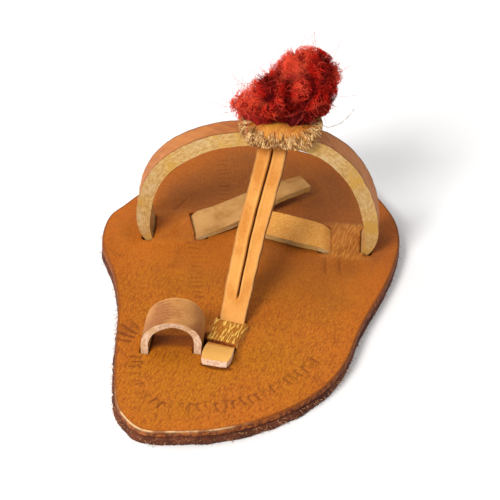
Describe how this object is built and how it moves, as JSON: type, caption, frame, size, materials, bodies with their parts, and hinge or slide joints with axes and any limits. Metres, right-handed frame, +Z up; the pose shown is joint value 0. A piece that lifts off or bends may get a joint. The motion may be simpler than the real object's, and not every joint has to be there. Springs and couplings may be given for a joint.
{
  "type": "miniature kolhapuri sandal",
  "caption": "Flat miniature leather sandal with a woven-through instep strap, a thong strap, a toe loop, a leather rosette and a wool pompom.",
  "frame": {"origin": "on the floor under the middle of the sole's box", "axes": "+Y from heel to toe, +X to the medial (big toe) side, +Z up"},
  "size_m": [0.0499, 0.08, 0.0405],
  "materials": {
    "sole_leather": "vegetable-tanned leather, cut edge, brown and fibrous",
    "tan_leather": "golden tan grain leather with stamped marks",
    "strap_leather": "light tan leather with a cream flesh side and cut edges",
    "rosette_leather": "orange tan leather with pinked edges",
    "red_wool": "red teased wool"
  },
  "bodies": {
    "root": {"outsole": "sole_leather", "insole": "tan_leather", "upper": "strap_leather", "toe_loop": "strap_leather", "rosette": "rosette_leather", "pompom": "red_wool"}
  },
  "joints": []
}
